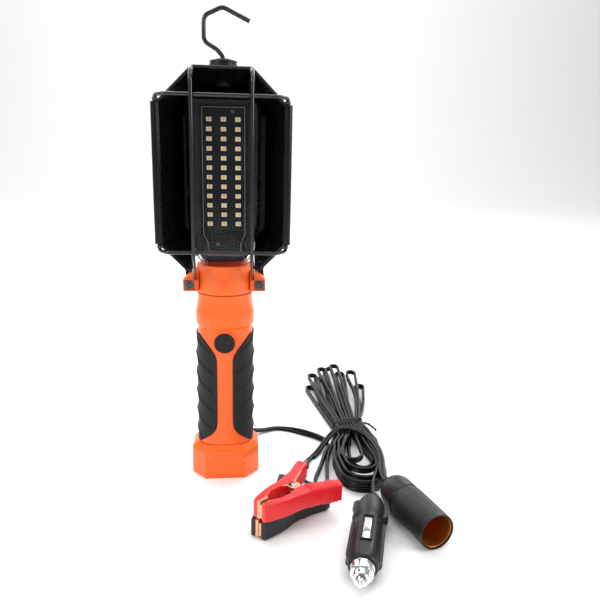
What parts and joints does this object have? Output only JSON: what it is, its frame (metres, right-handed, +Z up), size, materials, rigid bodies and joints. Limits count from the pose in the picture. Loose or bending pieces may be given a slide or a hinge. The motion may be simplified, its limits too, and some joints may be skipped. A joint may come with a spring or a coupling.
{
  "type": "work light",
  "caption": "Hand-held LED work light with orange handle, caged clear lens, sheet-metal shield, swivel hook and a lead kit with lighter plug, socket and battery clips.",
  "frame": {"origin": "centre of the foot's underside, where the upright lamp stands", "axes": "+Z up along the handle, -Y out of the lens and guard, +X to the right seen from the front"},
  "size_m": [0.1857, 0.3455, 0.3252],
  "materials": {
    "orange_plastic": "moulded ABS, light satin texture",
    "grip_rubber": "soft overmoulded rubber with moulded grooves",
    "black_plastic": "moulded plastic, fine texture",
    "shield_paint": "black powder coat on folded sheet steel",
    "guard_wire": "black coated steel wire, semi gloss",
    "clear_lens": "clear moulded polycarbonate",
    "led_board": "black solder mask with yellow LED packages",
    "zinc_steel": "zinc plated steel",
    "black_steel": "black oxide steel",
    "chrome": "bright nickel chrome plating",
    "copper": "copper plated steel",
    "socket_liner": "copper coloured metal sleeve",
    "red_plastic": "soft moulded vinyl",
    "cord_pvc": "black PVC jacket, semi gloss",
    "circuit_green": "green solder mask",
    "fuse_glass": "clear glass tube",
    "wire_red": "red insulated wire"
  },
  "bodies": {
    "lamp": {"base_cap": "orange_plastic", "handle_front": "orange_plastic", "handle_rear": "orange_plastic", "grip_left": "grip_rubber", "grip_right": "grip_rubber", "handle_screw_lower": "zinc_steel", "handle_screw_upper": "zinc_steel", "switch_body": "black_plastic", "driver_board": "circuit_green", "lamp_wires": "wire_red", "collar_front": "orange_plastic", "collar_rear": "orange_plastic", "clamp_screw_left": "zinc_steel", "clamp_screw_right": "zinc_steel", "clamp_nut_left": "black_steel", "clamp_nut_right": "black_steel", "shield": "shield_paint", "guard_loop": "guard_wire", "guard_wire_left": "guard_wire", "guard_wire_right": "guard_wire", "lens": "clear_lens", "lamp_housing": "black_plastic", "led_board": "led_board", "hook_boss": "black_plastic", "cord_gland": "grip_rubber", "lamp_lead": "cord_pvc", "hank": "cord_pvc", "cable_tie": "black_plastic", "plug_body": "black_plastic", "plug_cap": "chrome", "socket_shell": "black_plastic", "socket_liner": "socket_liner", "socket_contact": "zinc_steel", "socket_boot": "grip_rubber", "plug_lead": "cord_pvc", "socket_lead": "cord_pvc", "adapter_lead": "cord_pvc", "adapter_bight": "cord_pvc", "lead_red": "cord_pvc", "lead_black": "cord_pvc", "black_clip_jaw_near": "copper", "black_clip_sleeve_near": "black_plastic", "black_clip_rivet": "zinc_steel", "black_clip_spring": "zinc_steel", "red_clip_jaw_far": "copper", "red_clip_sleeve_far": "red_plastic", "red_clip_rivet": "zinc_steel", "red_clip_spring": "zinc_steel"},
    "hook": {"hook": "guard_wire", "hook_nut": "zinc_steel"},
    "button": {"switch_button": "black_plastic"},
    "plug_tip": {"plug_tip": "chrome", "plug_fuse": "fuse_glass", "plug_spring": "zinc_steel"},
    "plug_contact_upper": {"plug_contact_upper": "zinc_steel"},
    "plug_contact_lower": {"plug_contact_lower": "zinc_steel"},
    "red_clip_moving_half": {"red_clip_jaw_near": "copper", "red_clip_sleeve_near": "red_plastic"},
    "black_clip_moving_half": {"black_clip_jaw_far": "copper", "black_clip_sleeve_far": "black_plastic"}
  },
  "joints": [
    {"name": "hook_swivel", "type": "hinge", "parent": "lamp", "child": "hook", "pos_m": [0, 0, 0.29], "axis": [0, 0, 1], "continuous": true},
    {"name": "button_press", "type": "slide", "parent": "lamp", "child": "button", "axis": [0, 1, 0], "range_m": [0, 0.0015], "stiffness_N_per_m": 600, "springref_m": -0.001},
    {"name": "plug_tip_press", "type": "slide", "parent": "lamp", "child": "plug_tip", "axis": [0.284, 0.9588, 0], "range_m": [0, 0.003], "stiffness_N_per_m": 800, "springref_m": -0.002},
    {"name": "plug_contact_upper_press", "type": "slide", "parent": "lamp", "child": "plug_contact_upper", "axis": [0, 0, -1], "range_m": [0, 0.0012], "stiffness_N_per_m": 900, "springref_m": -0.0005},
    {"name": "plug_contact_lower_press", "type": "slide", "parent": "lamp", "child": "plug_contact_lower", "axis": [0, 0, 1], "range_m": [0, 0.0012], "stiffness_N_per_m": 900, "springref_m": -0.0005},
    {"name": "red_clip_open", "type": "hinge", "parent": "lamp", "child": "red_clip_moving_half", "pos_m": [0.04575, -0.07532, 0.02055], "axis": [0, 0, 1], "range_deg": [0, 25], "stiffness_Nm_per_rad": 0.05, "springref_deg": -28.65},
    {"name": "black_clip_open", "type": "hinge", "parent": "lamp", "child": "black_clip_moving_half", "pos_m": [0.04047, -0.06936, 0.0068], "axis": [0, 0, -1], "range_deg": [0, 25], "stiffness_Nm_per_rad": 0.05, "springref_deg": -28.65}
  ]
}
